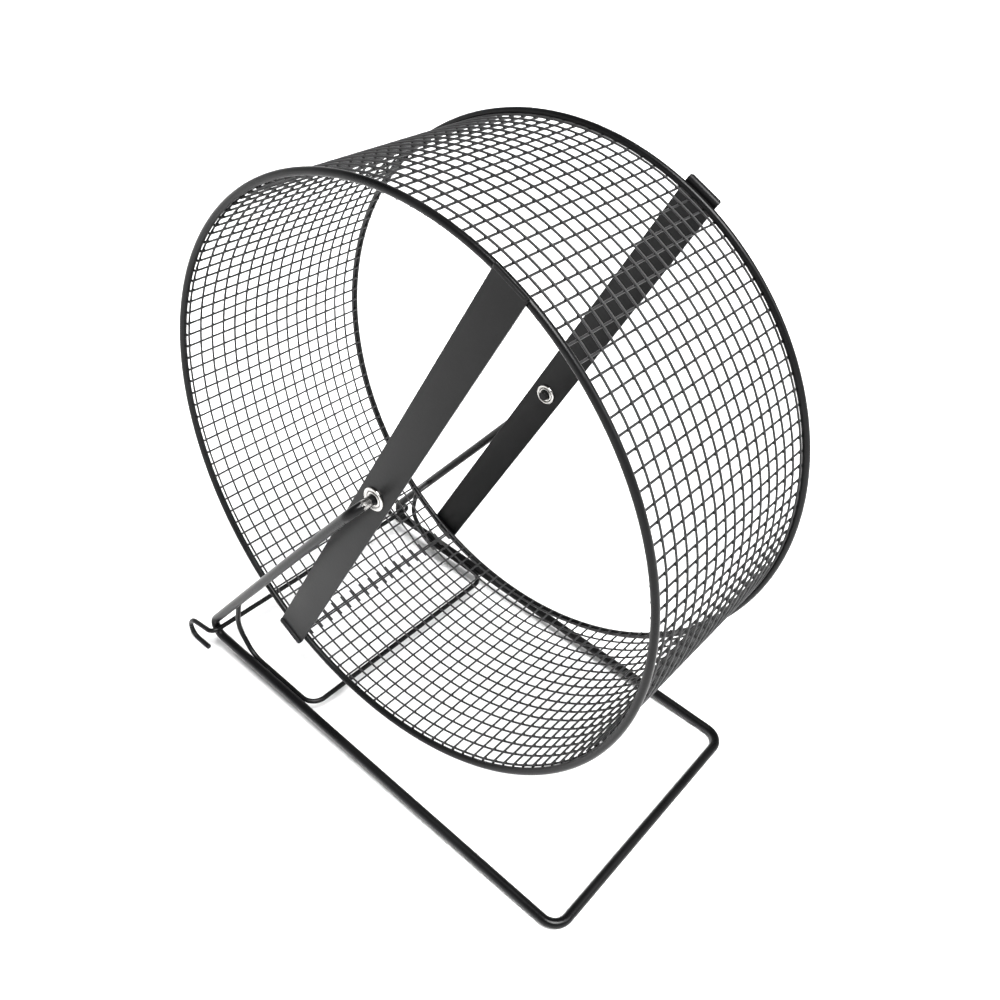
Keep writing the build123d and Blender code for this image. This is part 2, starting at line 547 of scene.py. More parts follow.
@dataclass
class Piece:
    name: str
    mesh: Mesh
    body: Body
    slot: Slot
    replaces: tuple[str, ...] = ()

    def place(self, placement: Placement) -> bpy.types.Object:
        """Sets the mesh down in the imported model's frame and ties it to its body.

        Args:
            placement: where the stand's frame lies.

        Returns:
            The piece's object, at the origin and unturned.
        """
        self.mesh.transform(placement.matrix())
        self.mesh.name = self.name
        thing = bpy.data.objects.new(self.name, self.mesh)
        bpy.context.scene.collection.objects.link(thing)
        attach(thing, self.body.value)
        if self.replaces:
            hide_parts(*self.replaces)
        self.mesh.calc_loop_triangles()
        log.info("%s: %d triangles on %s", self.name, len(self.mesh.loop_triangles), self.body.value)
        return thing


def mesh_from(name: str, points: Iterable[Vector], faces: Iterable[tuple[int, ...]] = (),
              edges: Iterable[tuple[int, int]] = ()) -> Mesh:
    """A mesh from plain lists.

    Args:
        name: its name.
        points: its vertices.
        faces: its faces, by vertex number.
        edges: its loose edges, by vertex number.

    Returns:
        The mesh.
    """
    mesh = bpy.data.meshes.new(name)
    mesh.from_pydata([tuple(p) for p in points], list(edges), list(faces))
    mesh.update()
    return mesh


def outward(mesh: Mesh) -> None:
    """Turns a closed mesh's faces outwards.

    Args:
        mesh: the mesh, which is changed in place.
    """
    work = bmesh.new()
    work.from_mesh(mesh)
    bmesh.ops.recalc_face_normals(work, faces=work.faces)
    work.to_mesh(mesh)
    work.free()


def heading(angle: float) -> Vector:
    """The unit vector in the XZ plane at an angle in radians from +X towards +Z."""
    return Vector((math.cos(angle), 0, math.sin(angle)))


@dataclass
class WirePath:
    """A round wire along straight runs with a bend at each corner.

    Its coat is worn between two distances from the middle plane, near its tips only.
    """

    name: str
    diameter: float
    corners: list[Vector]
    bends: list[float]
    tip_round: float = 0.3 * MM
    tip_shares: tuple[float, ...] = (0.0, 0.08, 0.3, 0.6, 1.0)
    bend_steps: int = 14
    run_step: float = 2.0 * MM
    sides: int = 20
    wear_from: float = 0.0
    wear_to: float = 0.0
    wear_begins: float = 0.8 * MM
    wear_fades: float = 2.4 * MM

    def line(self) -> list[Vector]:
        """The wire's centre line.

        Returns:
            Points along the runs and bends, closer together at both tips.
        """
        bent = [self.corners[0]]
        for before, corner, after, bend in zip(self.corners, self.corners[1:], self.corners[2:], self.bends):
            inward = (corner - before).normalized()
            outward = (after - corner).normalized()
            half = inward.angle(outward) / 2
            centre = corner + (outward - inward).normalized() * (bend / math.cos(half))
            arm = corner - inward * (bend * math.tan(half)) - centre
            axis = inward.cross(outward)
            for step in range(self.bend_steps + 1):
                bent.append(centre + Quaternion(axis, 2 * half * step / self.bend_steps) @ arm)
        bent.append(self.corners[-1])
        line = [bent[0]]
        for point in bent[1:]:
            length = (point - line[-1]).length
            pieces = max(1, round(length / self.run_step))
            start = line[-1]
            line += [start.lerp(point, (n + 1) / pieces) for n in range(pieces)]
        return self._with_tips(line)

    def _with_tips(self, line: list[Vector]) -> list[Vector]:
        """Adds the close points at both ends where the tips are rounded.

        Args:
            line: the centre line's points.

        Returns:
            The line with more points at its tips.
        """
        first = [line[0].lerp(line[1], s * self.tip_round / (line[1] - line[0]).length) for s in self.tip_shares]
        last = [line[-1].lerp(line[-2], s * self.tip_round / (line[-2] - line[-1]).length) for s in self.tip_shares]
        return first + line[1:-1] + last[::-1]

    def seed(self) -> Mesh:
        """The centre line as loose edges, with the radius and wear of each point.

        Returns:
            A mesh that a wire tree sweeps.
        """
        line = self.line()
        mesh = mesh_from(self.name + "_line", line, edges=[(n, n + 1) for n in range(len(line) - 1)])
        radius = self.diameter / 2
        lengths = [0.0]
        for before, after in zip(line, line[1:]):
            lengths.append(lengths[-1] + (after - before).length)
        thickness, wear = [], []
        for along, point in zip(lengths, line):
            left = min(along, lengths[-1] - along, self.tip_round)
            drop = self.tip_round - math.sqrt(max(0.0, self.tip_round ** 2 - (self.tip_round - left) ** 2))
            thickness.append(1 - drop / radius)
            near_tip = min(along, lengths[-1] - along) < self.wear_to
            share = min((abs(point.y) - self.wear_from) / self.wear_begins,
                        (self.wear_to - abs(point.y)) / self.wear_fades)
            wear.append(min(1.0, max(0.0, share)) if near_tip else 0.0)
        for name, values in (("thickness", thickness), ("wear", wear)):
            mesh.attributes.new(name, "FLOAT", "POINT").data.foreach_set("value", values)
        return mesh

    def build(self, tree: GeometryTree, material: Material) -> Mesh:
        """The wire's mesh, swept by the shared tree."""
        values = {"Wire Radius": self.diameter / 2, "Sides": self.sides, "Material": material}
        return tree.grow(self.name, values, self.seed())


def swept_wire_tree() -> GeometryTree:
    """The tree that sweeps a wire along loose edges.

    Returns:
        The tree; the edges' attribute "thickness" thins the wire, and its size is an input.
    """
    tree = GeometryTree("Swept wire")
    radius, = tree.numbers("Wire Radius")
    sides, = tree.counts("Sides")
    swept = tree.wire(tree.entry.outputs["Geometry"], radius, sides, tree.named("thickness"))
    tree.close(swept, tree.material("Material"))
    return tree


@dataclass
class Drum:
    """The running drum: welded mesh rolled into a cylinder, its seam, and a rim at each edge."""

    rim_radius: float = 101.0 * MM
    rim_wire: float = 2.5 * MM
    rim_spacing: float = 83.8 * MM
    mesh_wire: float = 0.75 * MM
    mesh_cell: float = 5.0 * MM
    mesh_edge: float = 1.9 * MM
    seam_gap: float = 0.05 * MM
    seam_end_length: float = 6.0 * MM
    seam_tip_round: float = 0.1 * MM
    seam_angle: float = math.radians(2.0)
    drum_angle: float = math.radians(66.0)
    rung_stop: float = 0.45 * MM
    unevenness: float = 0.16 * MM
    drift_gain: float = 4.0
    drift_per_cell: float = 0.22
    drift_across: float = 2.2
    drift_per_wire: float = 0.6
    hoop_salt: float = 1.0
    rung_salt: float = 5.0
    calm_rows: tuple[float, float] = (6.5, 8.0)
    calm_cells: tuple[float, float] = (1.0, 4.0)
    side_step_cells: float = 1.2
    hoop_steps: int = 250
    rung_steps: int = 17
    mesh_sides: int = 8
    rim_steps: int = 288
    rim_sides: int = 24
    knot_size: float = 0.52 * MM
    knot_height: float = 0.9
    knot_detail: int = 1
    knot_seed: int = 3
    weld_size: float = 0.62 * MM
    weld_round: float = 0.8
    weld_height: float = 0.7
    weld_lift: float = 0.45
    weld_detail: int = 2
    weld_seed: int = 7
    bead_range: tuple[float, float] = (0.82, 1.12)

    @property
    def rung_radius(self) -> float:
        """Radius of the inner mesh layer, the rungs across the drum."""
        return self.rim_radius - self.rim_wire / 2 - TOUCH - self.mesh_wire / 2

    @property
    def hoop_radius(self) -> float:
        """Radius of the outer mesh layer, the hoops round the drum."""
        return self.rung_radius + self.mesh_wire + TOUCH

    @property
    def rung_count(self) -> int:
        """Wires across the drum."""
        return round(2 * math.pi * self.rung_radius / self.mesh_cell)

    @property
    def spread(self) -> float:
        """Width from the first hoop to the last."""
        return self.rim_spacing - 2 * self.mesh_edge

    @property
    def hoop_count(self) -> int:
        """Wires round the drum."""
        return round(self.spread / self.mesh_cell) + 1

    @property
    def pitch(self) -> float:
        """Distance from hoop to hoop."""
        return self.spread / (self.hoop_count - 1)

    @property
    def seam_place(self) -> float:
        """Angle of the seam's first rung."""
        return self.drum_angle + math.pi + self.seam_angle

    def _polar(self, tree: GeometryTree, geometry: Socket, angle: Field, radius: Field, across: Field) -> Socket:
        """Moves points to a place on the drum.

        Args:
            tree: the tree that is built.
            geometry: the points.
            angle: angle round the axle, from +X towards +Z.
            radius: distance from the axle.
            across: place along the axle.

        Returns:
            The moved geometry.
        """
        x, z = (radius * tree.math(part, angle) for part in ("COSINE", "SINE"))
        place = tree.add("ShaderNodeCombineXYZ", x, across, z).outputs[0]
        return tree.add("GeometryNodeSetPosition", geometry, None, place).outputs[0]

    def _sweep(self, tree: GeometryTree, lines: Socket, angle: Field, radius: Field, across: Field) -> GeometryTree:
        """Sweeps mesh or rim wires along lines of points set out on the drum, and ends the tree.

        Args:
            tree: the tree that is built.
            lines: the lines of points.
            angle: angle of each point round the axle.
            radius: its distance from the axle.
            across: its place along the axle.

        Returns:
            The finished tree.
        """
        wire_radius, = tree.numbers("Wire Radius")
        sides, = tree.counts("Sides")
        placed = self._polar(tree, lines, angle, radius, across)
        tree.close(tree.wire(placed, wire_radius, sides), tree.material("Material"))
        return tree

    def _copies(self, tree: GeometryTree, points: Field, copies: Field, point_name: str, copy_name: str) -> Socket:
        """Lines of points, once for each copy, numbered by point and by copy.

        Args:
            tree: the tree that is built.
            points: points in a line.
            copies: number of lines.
            point_name: attribute that numbers the points.
            copy_name: attribute that numbers the lines.

        Returns:
            The realized lines.
        """
        index = tree.add("GeometryNodeInputIndex").outputs[0]
        line = tree.add("GeometryNodeMeshLine", points, None, (0, 0, 0), (0, 0, TOUCH)).outputs[0]
        line = tree.store(line, point_name, index)
        origins = tree.add("GeometryNodeMeshLine", copies, None, (0, 0, 0), (0, 0, 0)).outputs[0]
        origins = tree.store(origins, copy_name, index)
        spread = tree.add("GeometryNodeInstanceOnPoints", origins, None, line).outputs[0]
        return tree.add("GeometryNodeRealizeInstances", spread).outputs[0]

    def _drift(self, tree: GeometryTree, amount: Field, first: Field, second: Field, salt: float) -> Field:
        """A slow, small wander of a wire from its true place.

        Args:
            tree: the tree that is built.
            amount: the most that it wanders.
            first: a field that changes along the wire.
            second: a field that changes from wire to wire.
            salt: keeps two wanders apart.

        Returns:
            The distance from the true place.
        """
        place = tree.add("ShaderNodeCombineXYZ", first, second, salt).outputs[0]
        return (tree.noise_at(place, 1.0, 1.0) - 0.5) * (amount * self.drift_gain)

    def hoop_tree(self) -> GeometryTree:
        """The tree of the hoops, open at the seam, where their ends lie side by side.

        Returns:
            The tree; its inputs are the mesh's sizes.
        """
        tree = GeometryTree("Mesh hoops")
        rungs, from_axle, pitch, overlap, beside, uneven, seam = tree.numbers(
            "Rungs", "Hoop Radius", "Pitch", "Overlap Cells", "Beside", "Unevenness", "Seam Angle")
        hoops, points = tree.counts("Hoops", "Points")
        lines = self._copies(tree, points, hoops, "step", "hoop")
        turn = tree.named("step") * ((rungs + overlap * 2.0) / (points - 1.0)) - overlap
        angle = turn * (2 * math.pi / rungs) + seam
        # The hoops' ends step aside at the seam, towards the drum's middle
        hoop = tree.named("hoop")
        centred = hoop - (hoops - 1.0) / 2.0
        towards = 1.0 - tree.math("GREATER_THAN", centred, 0.5) * 2.0
        aside = tree.smooth(turn - (rungs - overlap), -self.side_step_cells, 0.0) * (towards * beside)
        # The wires wander a little, but not beside the rims or the seam
        to_seam = tree.math("MINIMUM", abs(turn), abs(turn - rungs))
        calm = tree.smooth(abs(centred), *self.calm_rows, 1.0, 0.0) * tree.smooth(to_seam, *self.calm_cells)
        wander = self._drift(tree, uneven * calm, turn * self.drift_per_cell, hoop * self.drift_per_wire,
                             self.hoop_salt)
        return self._sweep(tree, lines, angle, from_axle, centred * pitch + aside + wander)

    def rung_tree(self) -> GeometryTree:
        """The tree of the rungs, straight wires that end under the rims.

        Returns:
            The tree; its inputs are the mesh's sizes.
        """
        tree = GeometryTree("Mesh rungs")
        from_axle, length, uneven, seam = tree.numbers("Rung Radius", "Length", "Unevenness", "Seam Angle")
        rungs, points = tree.counts("Rungs", "Points")
        lines = self._copies(tree, points, rungs, "step", "rung")
        share = tree.named("step") / (points - 1.0)
        # All but the seam's own rung wander a little
        rung = tree.named("rung")
        amount = uneven * tree.math("GREATER_THAN", rung, 0.5)
        wander = self._drift(tree, amount, share * self.drift_across, rung * self.drift_per_wire, self.rung_salt)
        angle = rung * (2 * math.pi / rungs) + (seam + wander / from_axle)
        return self._sweep(tree, lines, angle, from_axle, (share - 0.5) * length)

    def rim_tree(self) -> GeometryTree:
        """The tree of a rim wire, a circle about the axle.

        Returns:
            The tree; its inputs are the rim's sizes.
        """
        tree = GeometryTree("Rim wire")
        rim_radius, across = tree.numbers("Rim Radius", "Across")
        steps, = tree.counts("Steps")
        ring = tree.add("GeometryNodeMeshCircle", steps, None).outputs[0]
        angle = 2 * math.pi / steps * tree.add("GeometryNodeInputIndex").outputs[0]
        return self._sweep(tree, ring, angle, rim_radius, across)

    def bead_tree(self, name: str) -> GeometryTree:
        """The tree that puts a weld bead on the rungs, once on each of a number of rows across the drum.

        Args:
            name: the tree's name.

        Returns:
            The tree; its inputs are the rows, the beads' sizes and their seed.
        """
        tree = GeometryTree(name)
        first, pitch, bead_radius, seam, along, wide, high = tree.numbers(
            "First Row", "Pitch", "Bead Radius", "Seam Angle", "Half Length Round", "Half Length Across", "Half Height")
        rungs, rows, detail, seed = tree.counts("Rungs", "Rows", "Detail", "Seed")
        points = self._copies(tree, rungs, rows, "rung", "row")
        points = tree.store(points, "turn", tree.named("rung") * (2 * math.pi / rungs) + seam)
        placed = self._polar(tree, points, tree.named("turn"), bead_radius, tree.named("row") * pitch + first)
        bead = tree.add("GeometryNodeMeshIcoSphere", 1.0, detail).outputs[0]
        bead = tree.add("GeometryNodeSetShadeSmooth", bead, None, True).outputs[0]
        chance = tree.add("FunctionNodeRandomValue", data_type="FLOAT")
        inputs = {socket.name: socket for socket in tree.live(chance.inputs)}
        for key, value in zip(("Min", "Max", "Seed"), (*self.bead_range, seed)):
            tree.feed(inputs[key], value)
        varied = tree.live(chance.outputs)[0]
        scale = tree.add("ShaderNodeCombineXYZ", *(half * varied for half in (high, wide, along)))
        turned = tree.add("FunctionNodeAxisAngleToRotation", (0, 1, 0), tree.named("turn") * -1.0).outputs[0]
        beads = tree.add("GeometryNodeInstanceOnPoints")
        tree.fill(beads, Points=placed, Instance=bead, Rotation=turned, Scale=scale.outputs[0])
        tree.close(beads.outputs[0], tree.material("Material"))
        return tree

    def seam_path(self) -> WirePath:
        """The second rung of the seam, beside the first.

        Returns:
            Its path, straight across the drum.
        """
        angle = self.seam_place + (self.mesh_wire + self.seam_gap) / self.rung_radius
        half = self.rim_spacing / 2 - self.rung_stop
        ends = [heading(angle) * self.rung_radius + Vector((0, y, 0)) for y in (-half, half)]
        return WirePath("seam_wire", self.mesh_wire, ends, [], tip_round=self.seam_tip_round, sides=self.mesh_sides)

    def mesh_pieces(self, finishes: Finishes, sweep: GeometryTree) -> list[Piece]:
        """Builds the welded mesh.

        Args:
            finishes: the materials.
            sweep: the tree that sweeps single wires.

        Returns:
            Hoops, rungs, seam wire and the knots where hoops and rungs are welded.
        """
        cell = 2 * math.pi / self.rung_count * self.hoop_radius
        wire = {"Wire Radius": self.mesh_wire / 2, "Sides": self.mesh_sides, "Seam Angle": self.seam_place,
                "Unevenness": self.unevenness, "Material": finishes.mesh}
        hoops = self.hoop_tree().grow("mesh_hoop_wires", wire | {
            "Rungs": float(self.rung_count), "Hoops": self.hoop_count, "Points": self.hoop_steps,
            "Hoop Radius": self.hoop_radius, "Pitch": self.pitch, "Beside": self.mesh_wire + TOUCH,
            "Overlap Cells": self.seam_end_length / 2 / cell,
        })
        rungs = self.rung_tree().grow("mesh_rung_wires", wire | {
            "Rungs": self.rung_count, "Points": self.rung_steps, "Rung Radius": self.rung_radius,
            "Length": self.rim_spacing - 2 * self.rung_stop,
        })
        knots = self.bead_tree("Mesh knots").grow("mesh_knots", {
            "Rungs": self.rung_count, "Rows": self.hoop_count, "First Row": -self.spread / 2, "Pitch": self.pitch,
            "Bead Radius": (self.rung_radius + self.hoop_radius) / 2, "Seam Angle": self.seam_place,
            "Half Length Round": self.knot_size, "Half Length Across": self.knot_size,
            "Half Height": self.knot_size * self.knot_height, "Detail": self.knot_detail, "Seed": self.knot_seed,
            "Material": finishes.knot,
        })
        seam = self.seam_path().build(sweep, finishes.mesh)
        return [
            Piece("mesh_hoop_wires", hoops, Body.WHEEL, Slot.MESH, ("mesh_hoops", "seam_ends")),
            Piece("mesh_rung_wires", rungs, Body.WHEEL, Slot.MESH, ("mesh_rungs",)),
            Piece("seam_wire", seam, Body.WHEEL, Slot.MESH, ("seam_rung",)),
            Piece("mesh_knots", knots, Body.WHEEL, Slot.MESH),
        ]

    def rim_pieces(self, finishes: Finishes) -> list[Piece]:
        """Builds the rims.

        Args:
            finishes: the materials.

        Returns:
            Each rim wire and the welds that hold the rungs to it.
        """
        made = []
        rim_tree, weld_tree = self.rim_tree(), self.bead_tree("Rim welds")
        for side in Side:
            label = side.name.lower()
            across = side.value * self.rim_spacing / 2
            rim = rim_tree.grow(f"rim_wire_{label}", {
                "Rim Radius": self.rim_radius, "Across": across, "Wire Radius": self.rim_wire / 2,
                "Steps": self.rim_steps, "Sides": self.rim_sides, "Material": finishes.wire,
            })
            welds = weld_tree.grow(f"rim_welds_{label}", {
                "Rungs": self.rung_count, "Rows": 1, "First Row": across - side.value * self.weld_size, "Pitch": 0.0,
                "Bead Radius": self.rung_radius + self.mesh_wire * self.weld_lift, "Seam Angle": self.seam_place,
                "Half Length Round": self.weld_size * self.weld_round, "Half Length Across": self.weld_size,
                "Half Height": self.weld_size * self.weld_height, "Detail": self.weld_detail,
                "Seed": self.weld_seed + side.value, "Material": finishes.wire,
            })
            made.append(Piece(f"rim_wire_{label}", rim, Body.WHEEL, Slot.WIRE, (f"rim_{label}",)))
            made.append(Piece(f"rim_welds_{label}", welds, Body.WHEEL, Slot.WIRE))
        return made


@dataclass
class Crossbar:
    """A flat strap across one side of the drum, with its ends turned outwards past the rim."""

    drum: Drum
    width: float = 12.4 * MM
    thickness: float = 1.0 * MM
    overhang: float = 1.45 * MM
    bend: float = 0.9 * MM
    flange_reach: float = 1.15 * MM
    corner: float = 1.1 * MM
    edge_round: float = 0.22 * MM
    hole: float = 2.34 * MM
    hole_margin: float = 8 * MM
    edge_steps: int = 4
    edge_limit: float = 0.98
    corner_from: int = 3
    corner_steps: int = 8
    bend_steps: int = 10
    flat_stations: Triple = (4 * MM, 30 * MM, 60 * MM)
    digits: int = 8
    hole_steps: int = 64
    sharp: float = math.radians(35)

    @property
    def inner_y(self) -> float:
        """Distance of the strap's inner face from the middle plane."""
        return self.drum.rim_spacing / 2 + self.drum.rim_wire / 2 + TOUCH

    @property
    def outer_y(self) -> float:
        """Distance of the strap's outer face from the middle plane."""
        return self.inner_y + self.thickness

    @property
    def end_radius(self) -> float:
        """Distance of the turned ends' outer face from the axle."""
        return self.drum.rim_radius + self.drum.rim_wire / 2 + self.overhang

    @property
    def flat_half(self) -> float:
        """Half the length of the flat part."""
        return self.end_radius - self.thickness / 2 - self.bend

    @property
    def half_length(self) -> float:
        """Half the strap's length along its middle layer, bends and flanges included."""
        flange = self.outer_y + self.flange_reach - (self.inner_y + self.thickness / 2 + self.bend)
        return self.flat_half + self.bend * math.pi / 2 + flange

    def at(self, along: float, aside: float, through: float) -> Vector:
        """Where a point of the flattened strap lies once the strap is bent.

        Args:
            along: distance from the axle along the strap, with a sign.
            aside: distance from the strap's centre line.
            through: distance from the strap's middle layer, outwards.

        Returns:
            The point, on the left side and with the strap along X.
        """
        sign, far = (1 if along >= 0 else -1), abs(along)
        turn = min(max((far - self.flat_half) / self.bend, 0.0), math.pi / 2)
        rest = max(far - self.flat_half - self.bend * math.pi / 2, 0.0)
        out = min(far, self.flat_half) + self.bend * math.sin(turn) - through * math.sin(turn)
        y = self.inner_y + self.thickness / 2 + self.bend * (1 - math.cos(turn)) + rest + through * math.cos(turn)
        return Vector((sign * out, y, aside))

    def section(self, from_end: float) -> list[tuple[float, float]]:
        """The strap's rounded section, smaller where its end and its corners are rounded.

        Args:
            from_end: distance from the strap's end.

        Returns:
            Points (across the width, through the thickness), anticlockwise.
        """
        def less(radius: float) -> float:
            """How much a rounding of that radius takes away here."""
            gone = max(0.0, radius - from_end)
            return radius - math.sqrt(radius ** 2 - gone ** 2)

        half_width = self.width / 2 - less(self.corner) - less(self.edge_round) * 0.5
        half_depth = self.thickness / 2 - less(self.edge_round)
        radius = min(self.edge_round, half_depth * self.edge_limit)
        points = []
        for corner, (sx, sy) in enumerate(((1, 1), (-1, 1), (-1, -1), (1, -1))):
            for step in range(self.edge_steps + 1):
                angle = (corner + step / self.edge_steps) * math.pi / 2
                points.append((sx * (half_width - radius) + radius * math.cos(angle),
                               sy * (half_depth - radius) + radius * math.sin(angle)))
        return points

    def stations(self) -> list[float]:
        """Where the strap's section is drawn.

        Returns:
            Distances from the strap's end, down to the middle.
        """
        ends = []
        for radius, first, last in ((self.edge_round, 0, self.edge_steps),
                                    (self.corner, self.corner_from, self.corner_steps)):
            ends += [radius * (1 - math.cos(n * math.pi / (2 * last))) for n in range(first, last + 1)]
        bend_start = self.half_length - self.flat_half
        ends += [bend_start - self.bend * math.pi / 2 * (1 - n / self.bend_steps) for n in range(self.bend_steps + 1)]
        ends += [bend_start + far for far in self.flat_stations] + [self.half_length - self.hole_margin]
        return sorted(set(round(end, self.digits) for end in ends))

    def blank(self) -> Mesh:
        """The bent strap before its hole is punched.

        Returns:
            A closed mesh, on the left side and with the strap along X.
        """
        halves = self.stations()
        along = [self.half_length - e for e in halves] + [e - self.half_length for e in reversed(halves)]
        points, faces = [], []
        for place in along:
            points += [self.at(place, *spot) for spot in self.section(self.half_length - abs(place))]
        count = len(self.section(self.corner))
        for n in range(len(along) - 1):
            for k in range(count):
                a, b = n * count + k, n * count + (k + 1) % count
                faces.append((a, b, b + count, a + count))
        faces.append(tuple(range(count))[::-1])
        faces.append(tuple(range((len(along) - 1) * count, len(along) * count)))
        return mesh_from("strap_blank", points, faces)

    def punch(self) -> Mesh:
        """The round tool that punches the hole.

        Returns:
            A closed mesh.
        """
        count, reach = self.hole_steps, 2 * self.thickness
        circle = [heading(2 * math.pi * n / count) * self.hole for n in range(count)]
        points = [p + Vector((0, y, 0)) for y in (self.inner_y - reach, self.outer_y + reach) for p in circle]
        faces = [(n, (n + 1) % count, (n + 1) % count + count, n + count) for n in range(count)]
        faces += [tuple(range(count))[::-1], tuple(range(count, 2 * count))]
        return mesh_from("strap_punch", points, faces)

    def piece(self, side: Side, finishes: Finishes) -> Piece:
        """Builds the strap of one side.

        Args:
            side: which side of the drum.
            finishes: the materials.

        Returns:
            The strap, with thickness, rounded edges and its hole.
        """
        blank, punch = self.blank(), self.punch()
        scene = bpy.context.scene.collection.objects
        things = [bpy.data.objects.new(m.name, m) for m in (blank, punch)]
        for thing in things:
            outward(thing.data)
            scene.link(thing)
        cut = things[0].modifiers.new("Hole", "BOOLEAN")
        cut.operation, cut.object, cut.solver = "DIFFERENCE", things[1], "EXACT"
        depsgraph = bpy.context.evaluated_depsgraph_get()
        mesh = bpy.data.meshes.new_from_object(things[0].evaluated_get(depsgraph), depsgraph=depsgraph)
        for thing in things:
            bpy.data.objects.remove(thing)
        turn = Matrix.Rotation(-self.drum.drum_angle, 4, "Y")
        if side is Side.RIGHT:
            turn = turn @ Matrix.Diagonal((1, -1, 1, 1))
        mesh.transform(turn)
        outward(mesh)
        mesh.shade_smooth()
        mesh.set_sharp_from_angle(angle=self.sharp)
        mesh.materials.clear()
        mesh.materials.append(finishes.bar)
        label = side.name.lower()
        return Piece(f"strap_{label}", mesh, Body.WHEEL, Slot.BAR, (f"crossbar_{label}",))


@dataclass
class Eyelet:
    """A pressed bearing ring through a strap, whose flanges have a rolled lip, a groove and a rim."""

    bar: Crossbar
    axle_gap: float = 0.07 * MM
    axle_wire: float = 3.5 * MM
    wall: float = 0.5 * MM
    outer_reach: float = 1.88 * MM
    inner_reach: float = 1.48 * MM
    flange: float = 0.8 * MM
    groove_place: float = 0.46
    groove_width: float = 0.13
    groove_depth: float = 0.8
    lip: float = 0.24 * MM
    dome_power: float = 0.7
    dome_steps: int = 28
    foot_inset: float = 0.08 * MM
    # Painted shade: strongest at the bore's edge and falling away over the flange, and again in the groove
    bore_shade: float = 0.9
    bore_shade_fall: float = 7.0
    groove_shade: float = 0.85
    steps: int = 72
    sharp: float = math.radians(45)

    def profile(self) -> list[Triple]:
        """The ring's closed section.

        Returns:
            Points (distance from the axle, place along it, crease), where crease is 1 in corners that keep grime.
        """
        bore = self.axle_wire / 2 + self.axle_gap
        sleeve = bore + self.wall
        inner, outer = self.bar.inner_y - TOUCH, self.bar.outer_y + TOUCH
        points: list[Triple] = []
        for reach, face, way in ((self.outer_reach, outer, 1), (self.inner_reach, inner, -1)):
            edge = sleeve + reach
            half = (edge - bore) / 2
            part = []
            for step in range(self.dome_steps + 1):
                angle = math.pi * step / self.dome_steps
                share = (1 - math.cos(angle)) / 2
                groove = math.exp(-((share - self.groove_place) / self.groove_width) ** 2)
                dome = math.sin(angle) ** self.dome_power * (1 - self.groove_depth * groove)
                # Share of painted shade along the flange: dark towards the bore and in the groove
                crease = max(self.bore_shade * (1 - self.bore_shade_fall * share), self.groove_shade * groove)
                place = bore + half - half * math.cos(angle)
                part.append((place, face + way * (self.lip + (self.flange - self.lip) * dome), crease))
            # The flange's foot against the strap and the sleeve get full painted shade
            part += [(edge - self.foot_inset, face, 1.0), (sleeve, face, 1.0)]
            points += part if way == 1 else part[::-1]
        return points

    def piece(self, side: Side, finishes: Finishes) -> Piece:
        """Turns the ring of one side.

        Args:
            side: which side of the drum.
            finishes: the materials.

        Returns:
            The ring.
        """
        profile = self.profile()
        count = len(profile)
        points, crease_shades = [], []
        for step in range(self.steps):
            out = heading(2 * math.pi * step / self.steps)
            for radius, y, crease in profile:
                points.append(out * radius + Vector((0, side.value * y, 0)))
                crease_shades.append(crease)
        faces = []
        for step in range(self.steps):
            here, there = step * count, (step + 1) % self.steps * count
            for n in range(count):
                ring = (here + n, here + (n + 1) % count, there + (n + 1) % count, there + n)
                faces.append(ring if side is Side.LEFT else ring[::-1])
        label = side.name.lower()
        mesh = mesh_from(f"ring_{label}", points, faces)
        # The painted shade's share is stored on the points for the nickel material
        mesh.attributes.new("crease", "FLOAT", "POINT").data.foreach_set("value", crease_shades)
        mesh.shade_smooth()
        mesh.set_sharp_from_angle(angle=self.sharp)
        mesh.materials.append(finishes.nickel)
        return Piece(f"eyelet_ring_{label}", mesh, Body.WHEEL, Slot.EYELET, (f"eyelet_{label}",))


